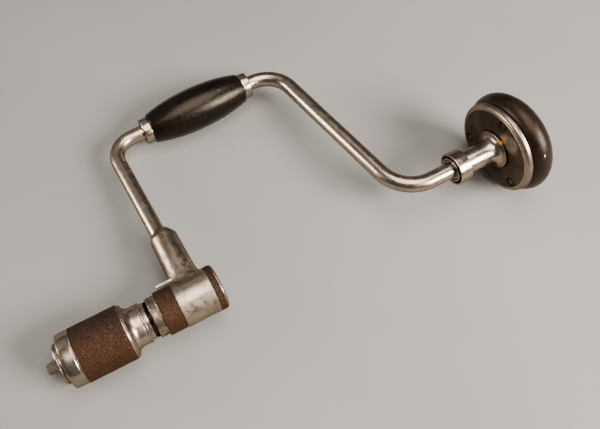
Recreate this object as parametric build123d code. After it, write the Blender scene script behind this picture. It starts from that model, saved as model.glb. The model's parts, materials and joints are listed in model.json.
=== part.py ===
from build123d import *
import math
import os

os.makedirs("parts", exist_ok=True)

# A ratcheting carpenter's brace with a two-jaw screw chuck, in millimetres. It is drawn with its
# main axis on X, the head toward +X and the crank toward +Y, and laid down on a surface at the end.

# Driving dimensions: the crank
SWEEP_RADIUS = 127.0
ROD_RADIUS = 5.0
ARM_TOP_X = -2.7
RIGHT_CORNER_X = 121.9
NECK_CORNER_X = 139.7
ARM_BEND = 14.7
RIGHT_BEND = 20.3
NECK_BEND = 22.3
ROD_FOOT = 19.0

# Driving dimensions: stations along X and radii of what sits on the main axis
JAW_TIP_X = -90.0
NOSE_FRONT_X = -83.2
SLEEVE_FRONT_X = -79.8
KNURL_FRONT_X = -71.4
KNURL_REAR_X = -42.0
SLEEVE_REAR_X = -30.3
SELECTOR_FRONT_X = -25.8
SELECTOR_SEAM_X = -20.3
BARREL_FRONT_X = -9.4
BARREL_REAR_X = 11.4
CAP_REAR_X = 16.8
COLLAR_FRONT_X = 173.6
COLLAR_REAR_X = 181.9
PLATE_FRONT_X = 204.0
PLATE_REAR_X = 208.0
KNOB_BELLY_X = 215.1
KNOB_BACK_X = 229.6

NOSE_RADIUS = 12.1
SLEEVE_RADIUS = 16.55
SLEEVE_COLLAR_RADIUS = 11.8
SELECTOR_STEP = 2.2
SELECTOR_STEP_RADIUS = 10.7
PLAIN_RING_RADIUS = 11.9
SELECTOR_RADIUS = 13.3
BARREL_RADIUS = 13.6
SOCKET_RADIUS = 8.6
SOCKET_TOP = 49.5
SEAM_FILLET = 1.5
COLLAR_RADIUS = 10.2
QUILL_RADIUS = 7.2
PLATE_RADIUS = 28.8
KNOB_RADIUS = 31.6

# Driving dimensions: the handle
HANDLE_LEFT_X = 27.2
HANDLE_RIGHT_X = 95.2
HANDLE_RADIUS = 14.6
HANDLE_END_RADIUS = 10.0
HANDLE_RING_RADIUS = 8.8
HANDLE_RING_WIDTH = 5.8

# Driving dimensions: the works
RUNNING = 0.08
CLEAR = 0.3
SPINDLE_RADIUS = 5.0
SPIGOT_RADIUS = 11.1
WHEEL_RADIUS = 7.4
WHEEL_TEETH = 12
PAWL_INNER = 8.0
PAWL_OUTER = 10.6
PAWL_PIN_RADIUS = 0.9
PAWL_ANGLES = (60.0, -60.0)
THREAD_RADIUS = 8.8
CLAMP_RADIUS = 1.75
CLAMP_LENGTH = 17.0
CONE_SLOPE = math.tan(math.radians(20.0))
NOSE_MOUTH_RADIUS = 5.7
SPINDLE_TURN = 10.0


def disc(start, end, radius):
    return extrude(Plane.YZ.offset(start) * Circle(radius), end - start)


def tube(start, end, outer, inner):
    return disc(start, end, outer) - disc(start - 1, end + 1, inner)


def turned(points, rounds=None):
    """Revolves the closed (x, radius) outline about X; rounds maps a corner's index to its radius."""
    face = make_face(Polyline(*points, close=True))
    for index, radius in (rounds or {}).items():
        corner = face.vertices().sort_by_distance((*points[index], 0))[0]
        face = fillet(corner, radius)
    return revolve(face, Axis.X)


def around_axis(shape, angle):
    return Rot(X=angle) * shape


def bore_along(direction, centre, radius, length):
    """A cylinder of this length centred on a point, with its axis along direction."""
    place = Plane(origin=centre, z_dir=direction)
    return extrude(place * Circle(radius), length / 2, both=True)


def coil(radius, height, turns, wire):
    """A wire helix that rises along Z from the origin."""
    path = Helix(pitch=height / turns, height=height, radius=radius)
    return sweep(Plane(origin=path @ 0, z_dir=path % 0) * Circle(wire), path=path)


# ---------------------------------------------------------------- crank rod

def bend(before, corner, after, radius):
    """The start, middle and end of the arc that rounds a corner of the rod's centre line."""
    back = (before - corner).normalized()
    onward = (after - corner).normalized()
    half = math.radians(back.get_angle(onward)) / 2
    middle = (back + onward).normalized()
    centre = corner + middle * (radius / math.sin(half))
    reach = radius / math.tan(half)
    return corner + back * reach, centre - middle * radius, corner + onward * reach


def make_crank_rod():
    foot = Vector(0, 0)
    corners = [
        foot,
        Vector(ARM_TOP_X, SWEEP_RADIUS),
        Vector(RIGHT_CORNER_X, SWEEP_RADIUS),
        Vector(NECK_CORNER_X, 0),
        Vector(ROD_END_X, 0),
    ]
    radii = [ARM_BEND, RIGHT_BEND, NECK_BEND]
    start = foot + (corners[1] - foot).normalized() * ROD_FOOT
    path = []
    for index, radius in enumerate(radii, start=1):
        arc = bend(corners[index - 1], corners[index], corners[index + 1], radius)
        path += [Line(start, arc[0]), ThreePointArc(*arc)]
        start = arc[2]
    path.append(Line(start, corners[-1]))
    wire = Wire(path)
    return sweep(Plane(origin=wire @ 0, z_dir=wire % 0) * Circle(ROD_RADIUS), path=wire)


# ---------------------------------------------------------------- head

KNOB_FRONT_X = PLATE_REAR_X + 0.3
QUILL_END_X = KNOB_FRONT_X + 3.2
BALL_RADIUS = 1.5
WASHER_FRONT_X = QUILL_END_X + 2 * (BALL_RADIUS + RUNNING)
NUT_FRONT_X = WASHER_FRONT_X + 1.5
NUT_REAR_X = NUT_FRONT_X + 4.0
ROD_END_X = NUT_REAR_X + 0.8
CAVITY_END_X = ROD_END_X + 1.6
CAVITY_RADIUS = 10.4
COLLAR_FLOOR_X = COLLAR_REAR_X - 2.6
COLLAR_MOUTH_RADIUS = 9.0
QUILL_SPIGOT_RADIUS = 6.8
FLANGE_HEIGHT = 1.9
FLANGE_RADIUS = 12.2
BEARING_SLEEVE_RADIUS = 7.8
SCREW_CIRCLE = 22.6
SCREW_ANGLES = (-28.0, 92.0, 212.0)
SCREW_HEAD_RADIUS = 2.1
SCREW_SINK = 0.3
PLATE_ROUND = 2.4


def quarter_round(centre, width, height):
    """A quarter of an ellipse, from straight above its centre to level with it."""
    handle = 4 / 3 * (math.sqrt(2) - 1)
    x, y = centre
    return Bezier(
        (x, y + height),
        (x + handle * width, y + height),
        (x + width, y + handle * height),
        (x + width, y),
    )


def make_knob():
    """A turned mushroom: rounded lip behind the plate, belly, domed back."""
    lip = 26.0
    shoulder = quarter_round((KNOB_BELLY_X, lip), KNOB_FRONT_X - KNOB_BELLY_X, KNOB_RADIUS - lip)
    dome = quarter_round((KNOB_BELLY_X, 0), KNOB_BACK_X - KNOB_BELLY_X, KNOB_RADIUS)
    outline = [
        Line((KNOB_FRONT_X, 0), (KNOB_FRONT_X, lip)),
        shoulder,
        dome,
        Line((KNOB_BACK_X, 0), (KNOB_FRONT_X, 0)),
    ]
    knob = revolve(make_face(outline), Axis.X)
    return knob - disc(KNOB_FRONT_X - 1, CAVITY_END_X, CAVITY_RADIUS)


def make_plate():
    """Flat plate with a broad rounded rim and a fine raised line where the flat ends."""
    plate = turned([
        (PLATE_FRONT_X, QUILL_RADIUS),
        (PLATE_FRONT_X, PLATE_RADIUS),
        (PLATE_REAR_X, PLATE_RADIUS),
        (PLATE_REAR_X, QUILL_RADIUS),
    ], {1: PLATE_ROUND, 2: 0.8})
    flat_radius = PLATE_RADIUS - PLATE_ROUND
    line = turned([
        (PLATE_FRONT_X - 0.2, flat_radius - 0.5),
        (PLATE_FRONT_X - 0.2, flat_radius - 0.2),
        (PLATE_FRONT_X + 0.5, flat_radius),
        (PLATE_FRONT_X + 0.5, flat_radius - 0.7),
    ])
    return plate + line


def make_screw_seat():
    """Shallow dish that a screw head sits in."""
    return turned([
        (-1.0, 0),
        (-1.0, SCREW_HEAD_RADIUS + 0.7),
        (0.0, SCREW_HEAD_RADIUS + 0.45),
        (SCREW_SINK, SCREW_HEAD_RADIUS + 0.1),
        (SCREW_SINK, 0),
    ])


def screw_places():
    """Where each screw sits, with its head's slot turned its own way."""
    return [
        Rot(X=angle) * Pos(PLATE_FRONT_X, SCREW_CIRCLE, 0) * Rot(X=40 + 35 * turn)
        for turn, angle in enumerate(SCREW_ANGLES)
    ]


def make_screws():
    """Slotted wood screws with slightly domed heads, a little below the plate's face."""
    edge = SCREW_HEAD_RADIUS
    core = 1.4
    head = turned([
        (-0.1, 0),
        (0.0, edge - 0.6),
        (0.25, edge),
        (0.5, edge),
        (1.7, core),
        (1.7, 0),
    ])
    shank = disc(1.7, 10.5, core) + turned([(10.5, 0), (10.5, core), (13.0, 0.2), (13.0, 0)])
    slot = Box(0.9, 3 * edge, 0.65)
    screw = Pos(SCREW_SINK, 0, 0) * (head + shank - slot)
    return [place * screw for place in screw_places()]


def make_quill():
    """Neck tube that flares smoothly into a round flange against the plate."""
    bore = ROD_RADIUS + RUNNING
    flange_front = PLATE_FRONT_X - FLANGE_HEIGHT
    flare_end = (flange_front + 0.2, FLANGE_RADIUS - 1.0)
    flare_start = (PLATE_FRONT_X - 11.0, QUILL_RADIUS)
    neck = tube(COLLAR_REAR_X, QUILL_END_X, QUILL_RADIUS, bore)
    spigot = tube(COLLAR_FLOOR_X, COLLAR_REAR_X, QUILL_SPIGOT_RADIUS, bore)
    flare = [
        Bezier(
            flare_start,
            (flange_front - 3.5, QUILL_RADIUS + 0.1),
            (flange_front, QUILL_RADIUS + 0.8),
            flare_end,
        ),
        Polyline(
            flare_end,
            (flange_front + 0.6, FLANGE_RADIUS),
            (PLATE_FRONT_X, FLANGE_RADIUS),
            (PLATE_FRONT_X, QUILL_RADIUS - 1),
            (flare_start[0], QUILL_RADIUS - 1),
            flare_start,
        ),
    ]
    return neck + spigot + revolve(make_face(flare), Axis.X)


def make_collar():
    """Dust collar on the quill's front, its mouth open round the bearing sleeve."""
    outline = [
        (COLLAR_FRONT_X, COLLAR_MOUTH_RADIUS),
        (COLLAR_FRONT_X, COLLAR_RADIUS),
        (COLLAR_REAR_X, COLLAR_RADIUS - 0.3),
        (COLLAR_REAR_X, QUILL_SPIGOT_RADIUS),
        (COLLAR_FLOOR_X, QUILL_SPIGOT_RADIUS),
        (COLLAR_FLOOR_X, COLLAR_MOUTH_RADIUS),
    ]
    return turned(outline, {1: 0.5, 2: 0.7})


def make_bearing_sleeve():
    """Sleeve on the rod inside the collar's mouth, standing a little proud of it."""
    front = COLLAR_FRONT_X - 0.6
    rear = COLLAR_FLOOR_X - CLEAR
    return turned([
        (front, ROD_RADIUS),
        (front, BEARING_SLEEVE_RADIUS),
        (rear, BEARING_SLEEVE_RADIUS),
        (rear, ROD_RADIUS),
    ], {1: 0.4})


def ball_row(station, circle, radius, count):
    return [
        around_axis(Pos(station, circle, 0) * Sphere(radius), 360 * index / count)
        for index in range(count)
    ]


def make_thrust_nut():
    nut = extrude(Plane.YZ.offset(NUT_FRONT_X) * RegularPolygon(8.6, 6), NUT_REAR_X - NUT_FRONT_X)
    return nut - disc(NUT_FRONT_X - 1, NUT_REAR_X + 1, ROD_RADIUS)


# ---------------------------------------------------------------- handle

def make_handle():
    middle = (HANDLE_LEFT_X + HANDLE_RIGHT_X) / 2
    quarter = (HANDLE_RIGHT_X - HANDLE_LEFT_X) / 4
    shoulder = HANDLE_END_RADIUS + 0.78 * (HANDLE_RADIUS - HANDLE_END_RADIUS)
    bore = ROD_RADIUS + RUNNING
    outline = [
        Line((HANDLE_LEFT_X, bore), (HANDLE_LEFT_X, HANDLE_END_RADIUS)),
        Spline(
            (HANDLE_LEFT_X, HANDLE_END_RADIUS),
            (middle - quarter, shoulder),
            (middle, HANDLE_RADIUS),
            (middle + quarter, shoulder),
            (HANDLE_RIGHT_X, HANDLE_END_RADIUS),
        ),
        Line((HANDLE_RIGHT_X, HANDLE_END_RADIUS), (HANDLE_RIGHT_X, bore)),
        Line((HANDLE_RIGHT_X, bore), (HANDLE_LEFT_X, bore)),
    ]
    barrel = revolve(make_face(outline), Axis.X)
    rims = barrel.edges().filter_by(GeomType.CIRCLE).sort_by(SortBy.RADIUS)[-2:]
    return Pos(0, SWEEP_RADIUS, 0) * fillet(rims, 1.0)


def make_handle_ring(start):
    bore = ROD_RADIUS + 0.9
    ring = turned([
        (start, bore),
        (start, HANDLE_RING_RADIUS),
        (start + HANDLE_RING_WIDTH, HANDLE_RING_RADIUS),
        (start + HANDLE_RING_WIDTH, bore),
    ], {1: 0.7, 2: 0.7})
    return Pos(0, SWEEP_RADIUS, 0) * ring


# ---------------------------------------------------------------- ratchet frame

RECESS_X = 6.4
RECESS_RADIUS = 9.0
SPIGOT_FRONT_X = SELECTOR_SEAM_X + 0.35
WINDOW_X = (-18.6, -12.0)
PAWL_X = (WINDOW_X[0] + CLEAR, WINDOW_X[1] - CLEAR)
PAWL_PIN_CIRCLE = (PAWL_INNER + PAWL_OUTER) / 2
PAWL_SPAN = 46.0
DETENT_RADIUS = 0.8
DETENT_CIRCLE = 12.3
DETENT_ANGLE = -90.0
DETENT_X = BARREL_FRONT_X - 0.1
SELECTOR_PIN_RADIUS = 1.2
SELECTOR_PIN_LENGTH = 10.4
SELECTOR_PIN_FRONT_X = -16.7
SELECTOR_PIN_CENTRE = (
    SELECTOR_PIN_FRONT_X + SELECTOR_PIN_LENGTH / 2,
    15.1 * math.cos(math.radians(19)),
    15.1 * math.sin(math.radians(19)),
)


def annular_block(station, inner, outer, middle_angle, span):
    """The part of a tube between two X stations that spans an angle about X."""
    start, end = station
    reach = 3 * outer
    half = math.radians(span) / 2
    wedge = make_face(Polyline(
        (0, 0),
        (reach * math.cos(half), -reach * math.sin(half)),
        (reach * math.cos(half), reach * math.sin(half)),
        close=True,
    ))
    sector = around_axis(extrude(Plane.YZ.offset(start) * wedge, end - start), middle_angle)
    return tube(start, end, outer, inner) & sector


def make_socket():
    """Upright socket that takes the rod's foot: a tapered post with a domed top."""
    middle_x = 0.6
    face = make_face(Polyline(
        (0, 0),
        (SOCKET_RADIUS + 0.5, 0),
        (SOCKET_RADIUS + 0.5, BARREL_RADIUS),
        (SOCKET_RADIUS, SOCKET_TOP - 5),
        (ROD_RADIUS + 0.6, SOCKET_TOP),
        (0, SOCKET_TOP),
        close=True,
    ))
    for near, radius in (((SOCKET_RADIUS, SOCKET_TOP - 5), 4.0), ((ROD_RADIUS + 0.6, SOCKET_TOP), 1.2)):
        face = fillet(face.vertices().sort_by_distance((*near, 0))[0], radius)
    return Pos(middle_x, 0, 0) * revolve(face, Axis.Y)


def make_frame(holes):
    """Barrel and socket in one casting, with its bores, the pawls' windows and the given holes."""
    barrel = turned([
        (BARREL_FRONT_X, 0),
        (BARREL_FRONT_X, BARREL_RADIUS),
        (BARREL_REAR_X, BARREL_RADIUS - 0.2),
        (BARREL_REAR_X, 0),
    ])
    casting = barrel + make_socket()
    casting = fillet(casting.edges().filter_by(GeomType.BSPLINE), SEAM_FILLET)
    casting += disc(SPIGOT_FRONT_X, BARREL_FRONT_X, SPIGOT_RADIUS)
    casting -= disc(SPIGOT_FRONT_X - 1, WINDOW_X[1], WHEEL_RADIUS + CLEAR)
    casting -= disc(WINDOW_X[1] - 1, RECESS_X + 1, SPINDLE_RADIUS + RUNNING)
    casting -= disc(RECESS_X, BARREL_REAR_X + 1, RECESS_RADIUS)
    for angle in PAWL_ANGLES:
        casting -= annular_block(WINDOW_X, 5.5, SPIGOT_RADIUS + 1, angle, PAWL_SPAN + 14)
    for hole in holes:
        casting -= hole
    return casting


def make_selector_pin():
    pin = bore_along((1, 0, 0), SELECTOR_PIN_CENTRE, SELECTOR_PIN_RADIUS, SELECTOR_PIN_LENGTH)
    return chamfer(pin.edges().filter_by(GeomType.CIRCLE), 0.2)


def make_rear_cap():
    """Closed cap over the spindle nut: a knurled band and a plain bright rim."""
    rim_x = CAP_REAR_X - 1.2
    outline = [
        (BARREL_REAR_X, RECESS_RADIUS),
        (BARREL_REAR_X, BARREL_RADIUS),
        (rim_x, BARREL_RADIUS),
        (rim_x + 0.2, BARREL_RADIUS - 0.5),
        (CAP_REAR_X, BARREL_RADIUS - 1.2),
        (CAP_REAR_X + 0.5, 0),
        (CAP_REAR_X - 2.0, 0),
        (CAP_REAR_X - 2.0, RECESS_RADIUS),
    ]
    return turned(outline, {1: 0.3})


# ---------------------------------------------------------------- ratchet works

def make_wheel():
    """Ratchet wheel: straight-sided teeth cut round a disc that is pressed on the spindle."""
    start, end = PAWL_X
    wheel = disc(start, end, WHEEL_RADIUS)
    notch = Plane.YZ.offset(start) * (Pos(WHEEL_RADIUS + 0.2, 0) * Rot(Z=45) * Rectangle(1.9, 1.9))
    for index in range(WHEEL_TEETH):
        wheel -= around_axis(extrude(notch, end - start), 360 * index / WHEEL_TEETH)
    return wheel - disc(start - 1, end + 1, SPINDLE_RADIUS)


def pawl_pin_centre(side):
    """Both pins sit at the crank end of their pawl."""
    angle = math.radians(PAWL_ANGLES[side] - math.copysign(PAWL_SPAN / 2 - 9, PAWL_ANGLES[side]))
    middle = (SPIGOT_FRONT_X + BARREL_FRONT_X) / 2
    return (middle, PAWL_PIN_CIRCLE * math.cos(angle), PAWL_PIN_CIRCLE * math.sin(angle))


def make_pawl_pin(side):
    length = BARREL_FRONT_X - SPIGOT_FRONT_X - 0.8
    return bore_along((1, 0, 0), pawl_pin_centre(side), PAWL_PIN_RADIUS, length)


def make_pawl(side):
    block = annular_block(PAWL_X, PAWL_INNER, PAWL_OUTER, PAWL_ANGLES[side], PAWL_SPAN)
    return block - bore_along((1, 0, 0), pawl_pin_centre(side), PAWL_PIN_RADIUS + RUNNING, 20)


def make_selector_ring():
    """Knurled ring round the spigot, with a running track for the detent ball in its rear face."""
    ring = turned([
        (SELECTOR_SEAM_X, SPIGOT_RADIUS + 0.2),
        (SELECTOR_SEAM_X, SELECTOR_RADIUS),
        (BARREL_FRONT_X - 0.2, SELECTOR_RADIUS),
        (BARREL_FRONT_X - 0.2, SPIGOT_RADIUS + 0.2),
    ], {1: 0.5, 2: 0.5})
    track = (BARREL_FRONT_X - 1.6, BARREL_FRONT_X)
    width = DETENT_RADIUS + 0.12
    return ring - annular_block(track, DETENT_CIRCLE - width, DETENT_CIRCLE + width, DETENT_ANGLE, 70)


def make_selector_plate():
    """Plain ring with a stepped front; it turns with the knurled one and covers the ratchet."""
    step_front = SELECTOR_FRONT_X - SELECTOR_STEP
    return turned([
        (step_front, 6.4),
        (step_front, SELECTOR_STEP_RADIUS),
        (SELECTOR_FRONT_X, SELECTOR_STEP_RADIUS),
        (SELECTOR_FRONT_X, PLAIN_RING_RADIUS),
        (SELECTOR_SEAM_X, PLAIN_RING_RADIUS),
        (SELECTOR_SEAM_X, 6.4),
    ], {1: 0.4, 3: 0.5})


def make_detent_ball():
    place = (DETENT_X, DETENT_CIRCLE * math.cos(math.radians(DETENT_ANGLE)),
             DETENT_CIRCLE * math.sin(math.radians(DETENT_ANGLE)))
    return Pos(*place) * Sphere(DETENT_RADIUS)


def make_detent_spring():
    start = DETENT_X + DETENT_RADIUS
    spring = coil(0.55, 5.0, 7, 0.16)
    return around_axis(Pos(start + 0.15, DETENT_CIRCLE, 0) * Rot(Y=90) * spring, DETENT_ANGLE)


def make_detent_hole():
    hole = disc(DETENT_X - 1, DETENT_X + DETENT_RADIUS + 5.6, DETENT_RADIUS + 0.05)
    return around_axis(Pos(0, DETENT_CIRCLE, 0) * hole, DETENT_ANGLE)


# ---------------------------------------------------------------- spindle and chuck

BODY_FRONT_X = -72.5
SLOT_REAR_X = -56.0
JAW_TAIL_X = -58.0
JAW_HALF_WIDTH = 3.4
JAW_TAIL_HEIGHT = 6.4
NOSE_REAR_X = -73.5
SPLIT = 0.06
SPINDLE_FLANGE_RADIUS = 10.9
SPINDLE_FLANGE_X = (SLEEVE_REAR_X + CLEAR, SLEEVE_REAR_X + 2.0)


def make_spindle():
    """Shaft in the frame, a grooved neck, and the chuck's screw with a slot for the jaws."""
    spindle = turned([
        (BODY_FRONT_X, 0),
        (BODY_FRONT_X, THREAD_RADIUS - 1.2),
        (BODY_FRONT_X + 1.2, THREAD_RADIUS),
        (-33.0, THREAD_RADIUS),
        (-33.0, 8.0),
        (SPINDLE_FLANGE_X[0], 8.0),
        (SPINDLE_FLANGE_X[0], SPINDLE_FLANGE_RADIUS),
        (SPINDLE_FLANGE_X[1], SPINDLE_FLANGE_RADIUS),
        (SPINDLE_FLANGE_X[1], 6.1),
        (SPIGOT_FRONT_X - 0.1, 6.1),
        (SPIGOT_FRONT_X - 0.1, SPINDLE_RADIUS),
        (RECESS_X + 6.6, SPINDLE_RADIUS),
        (RECESS_X + 6.6, 0),
    ])
    slot_length = SLOT_REAR_X - BODY_FRONT_X
    slot = Pos(BODY_FRONT_X + slot_length / 2 - 1, 0, 0) * Box(
        slot_length + 2, 2 * (JAW_HALF_WIDTH + 0.15), 3 * THREAD_RADIUS)
    return around_axis(spindle - slot, SPINDLE_TURN)


def cone_radius(station):
    return NOSE_MOUTH_RADIUS + (station - NOSE_FRONT_X) * CONE_SLOPE


def make_jaw(side):
    """One jaw of the pair: square pyramid tip, conical head, flat tail, half of the round grip."""
    head_rear = NOSE_REAR_X + 0.5
    base_half = 3.75
    tip_half = 2.55
    tip_base_x = NOSE_FRONT_X - 0.2
    tip = loft([
        Plane.YZ.offset(JAW_TIP_X) * RectangleRounded(2 * tip_half, 2 * tip_half, 0.4),
        Plane.YZ.offset(tip_base_x) * RectangleRounded(2 * base_half, 2 * base_half, 0.6),
    ])
    head = turned([
        (tip_base_x, 0),
        (tip_base_x, base_half + 1.1),
        (NOSE_FRONT_X + 1.5, cone_radius(NOSE_FRONT_X + 1.5) - 0.25),
        (head_rear, cone_radius(head_rear) - 0.25),
        (head_rear, 0),
    ])
    head &= Pos((tip_base_x + head_rear) / 2, 0, 0) * Box(30, 2 * JAW_HALF_WIDTH + 6, 40)
    tail_length = JAW_TAIL_X - head_rear + 1
    tail = Pos(head_rear - 1 + tail_length / 2, 0, 0) * Box(
        tail_length, 2 * JAW_HALF_WIDTH, 2 * JAW_TAIL_HEIGHT)
    pair = tip + head + tail
    pair -= disc(JAW_TIP_X - 1, JAW_TIP_X + CLAMP_LENGTH, CLAMP_RADIUS)
    pair -= disc(JAW_TIP_X + CLAMP_LENGTH - 0.1, JAW_TIP_X + CLAMP_LENGTH + 3, CLAMP_RADIUS + 0.5)
    pair -= bore_along((0, 0, 1), (SPRING_X, 0, 0), 1.9, 5.4)
    half = Pos((JAW_TIP_X + JAW_TAIL_X) / 2, 0, side * (20 + SPLIT)) * Box(60, 40, 40)
    return around_axis(pair & half, SPINDLE_TURN)


SPRING_X = -63.0


def make_jaw_spring():
    height = 4.6
    spring = coil(1.3, height, 4, 0.3)
    return around_axis(Pos(SPRING_X, 0, -height / 2) * spring, SPINDLE_TURN)


def make_nose_ring():
    """Coned ring that closes the jaws; its flange runs inside the sleeve's mouth."""
    flange_front = SLEEVE_FRONT_X + 1.9
    return turned([
        (NOSE_FRONT_X, NOSE_MOUTH_RADIUS),
        (NOSE_FRONT_X, NOSE_RADIUS - 0.7),
        (NOSE_FRONT_X + 0.9, NOSE_RADIUS),
        (flange_front, NOSE_RADIUS),
        (flange_front, 13.4),
        (flange_front + 1.8, 13.4),
        (flange_front + 1.8, 11.4),
        (NOSE_REAR_X, 11.4),
        (NOSE_REAR_X, cone_radius(NOSE_REAR_X)),
    ])


NOSE_BALL_RADIUS = 1.0
NOSE_BALL_X = SLEEVE_FRONT_X + 3.7 + NOSE_BALL_RADIUS + RUNNING
SHOULDER_X = NOSE_BALL_X + NOSE_BALL_RADIUS + RUNNING


def make_chuck_sleeve():
    """Shell of the chuck: plain band, knurled grip, rim, concave flare and collar; screwed inside."""
    grip = SLEEVE_RADIUS
    band = grip - 0.35
    collar = SLEEVE_COLLAR_RADIUS
    bore = THREAD_RADIUS + RUNNING
    flare_rear = KNURL_REAR_X + 5.6
    outline = Polyline(
        (SLEEVE_FRONT_X, NOSE_RADIUS + 0.2),
        (SLEEVE_FRONT_X, band - 1.0),
        (SLEEVE_FRONT_X + 0.4, band - 0.45),
        (SLEEVE_FRONT_X + 1.4, band - 0.1),
        (SLEEVE_FRONT_X + 3.0, band),
        (KNURL_FRONT_X - 0.6, band),
        (KNURL_FRONT_X - 0.6, band - 0.4),
        (KNURL_FRONT_X, band - 0.4),
        (KNURL_FRONT_X, grip),
        (KNURL_REAR_X, grip),
        (KNURL_REAR_X, grip - 0.9),
        (KNURL_REAR_X + 0.5, grip - 0.9),
        (KNURL_REAR_X + 0.5, grip - 0.5),
        (KNURL_REAR_X + 1.4, grip - 0.6),
        (KNURL_REAR_X + 1.6, grip - 1.6),
    )
    flare = ThreePointArc(
        outline @ 1,
        (KNURL_REAR_X + 3.0, collar + 1.2),
        (flare_rear, collar),
    )
    inside = Polyline(
        flare @ 1,
        (SLEEVE_REAR_X - 1.5, collar),
        (SLEEVE_REAR_X - 1.5, collar + 0.25),
        (SLEEVE_REAR_X - 0.3, collar + 0.25),
        (SLEEVE_REAR_X, collar - 0.1),
        (SLEEVE_REAR_X, bore),
        (-52.0, bore),
        (-55.0, 11.8),
        (SHOULDER_X, 11.8),
        (SHOULDER_X, 13.7),
        (SLEEVE_FRONT_X + 1.6, 13.7),
        (SLEEVE_FRONT_X + 1.6, NOSE_RADIUS + 0.2),
        outline @ 0,
    )
    return revolve(make_face([outline, flare, inside]), Axis.X)


# ---------------------------------------------------------------- assembly

def build_parts():
    """Every node's solids, still lying with the main axis on X."""
    rod = make_crank_rod()
    screws = make_screws()
    pins = [make_pawl_pin(side) for side in (0, 1)]
    crank_pin = bore_along((0, 0, 1), (-0.4, SOCKET_TOP - 7.5, 0), 1.3, 2 * SOCKET_RADIUS - 0.4)
    drilled_rod = rod - crank_pin
    selector_pin = make_selector_pin()
    knob = make_knob()
    plate = make_plate()
    for screw, place in zip(screws, screw_places()):
        knob -= screw
        plate -= screw + place * make_screw_seat()
    balls = ball_row((QUILL_END_X + WASHER_FRONT_X) / 2, 7.6, BALL_RADIUS, 10)
    return {
        "head_knob": knob,
        "head_plate": plate,
        "head_screws": Compound(children=[Part() + screw for screw in screws]),
        "head_quill": make_quill(),
        "head_collar": make_collar(),
        "thrust_balls": Compound(children=[Part() + ball for ball in balls]),
        "crank_rod": drilled_rod,
        "head_bearing_sleeve": make_bearing_sleeve(),
        "thrust_washer": tube(WASHER_FRONT_X, NUT_FRONT_X, 9.4, ROD_RADIUS),
        "thrust_nut": make_thrust_nut(),
        "ratchet_frame": make_frame([rod, *pins, crank_pin, selector_pin, make_detent_hole()]),
        "crank_pin": crank_pin,
        "rear_cap": make_rear_cap(),
        "pawl_pins": Compound(children=[Part() + pin for pin in pins]),
        "detent_ball": make_detent_ball(),
        "detent_spring": make_detent_spring(),
        "selector_pin": selector_pin,
        "handle_barrel": make_handle(),
        "handle_ring_left": make_handle_ring(HANDLE_LEFT_X - HANDLE_RING_WIDTH),
        "handle_ring_right": make_handle_ring(HANDLE_RIGHT_X),
        "selector_ring": make_selector_ring(),
        "selector_plate": make_selector_plate(),
        "pawl_forward": make_pawl(0),
        "pawl_reverse": make_pawl(1),
        "ratchet_wheel": make_wheel(),
        "spindle": make_spindle(),
        "spindle_washer": tube(RECESS_X + 0.1, RECESS_X + 1.3, 8.2, SPINDLE_RADIUS),
        "spindle_nut": tube(RECESS_X + 1.3, RECESS_X + 5.8, 8.0, SPINDLE_RADIUS),
        "jaw_upper": make_jaw(1),
        "jaw_lower": make_jaw(-1),
        "jaw_spring": make_jaw_spring(),
        "nose_ring": make_nose_ring(),
        "nose_balls": Compound(children=[
            Part() + ball for ball in ball_row(NOSE_BALL_X, 12.5, NOSE_BALL_RADIUS, 18)
        ]),
        "chuck_sleeve": make_chuck_sleeve(),
    }


def rest_plane():
    """The surface under the head's belly, the sleeve's front and the handle's belly, with X along it."""
    head_x = KNOB_BELLY_X
    sleeve_x = KNURL_FRONT_X
    handle_x = (HANDLE_LEFT_X + HANDLE_RIGHT_X) / 2
    slope = (KNOB_RADIUS - SLEEVE_RADIUS) / (head_x - sleeve_x)
    up_x = slope / math.hypot(1, slope)
    level = math.sqrt(1 - up_x ** 2)
    up_y = ((HANDLE_RADIUS - SLEEVE_RADIUS) * level - up_x * (handle_x - sleeve_x)) / SWEEP_RADIUS
    up = Vector(up_x, up_y, math.sqrt(1 - up_x ** 2 - up_y ** 2))
    along = Vector(1, 0, 0) - up * up_x
    return Plane(origin=(0, 0, 0), x_dir=along.normalized(), z_dir=up)


def laying_down(parts):
    """The move that lays the brace down with the middle of its footprint at the origin."""
    turn = rest_plane().location.inverse()
    boxes = [(turn * shape).bounding_box() for shape in parts.values()]
    low = [min(getattr(box.min, axis) for box in boxes) for axis in "XYZ"]
    high = [max(getattr(box.max, axis) for box in boxes) for axis in "XYZ"]
    return Pos(-(low[0] + high[0]) / 2, -(low[1] + high[1]) / 2, -low[2]) * turn


PARTS = build_parts()
LAY = laying_down(PARTS)

for name, shape in PARTS.items():
    export_step(LAY * shape, f"parts/{name}.step")
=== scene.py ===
import bmesh
import bpy
import json
import math
from mathutils import Matrix, Vector, noise


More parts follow.
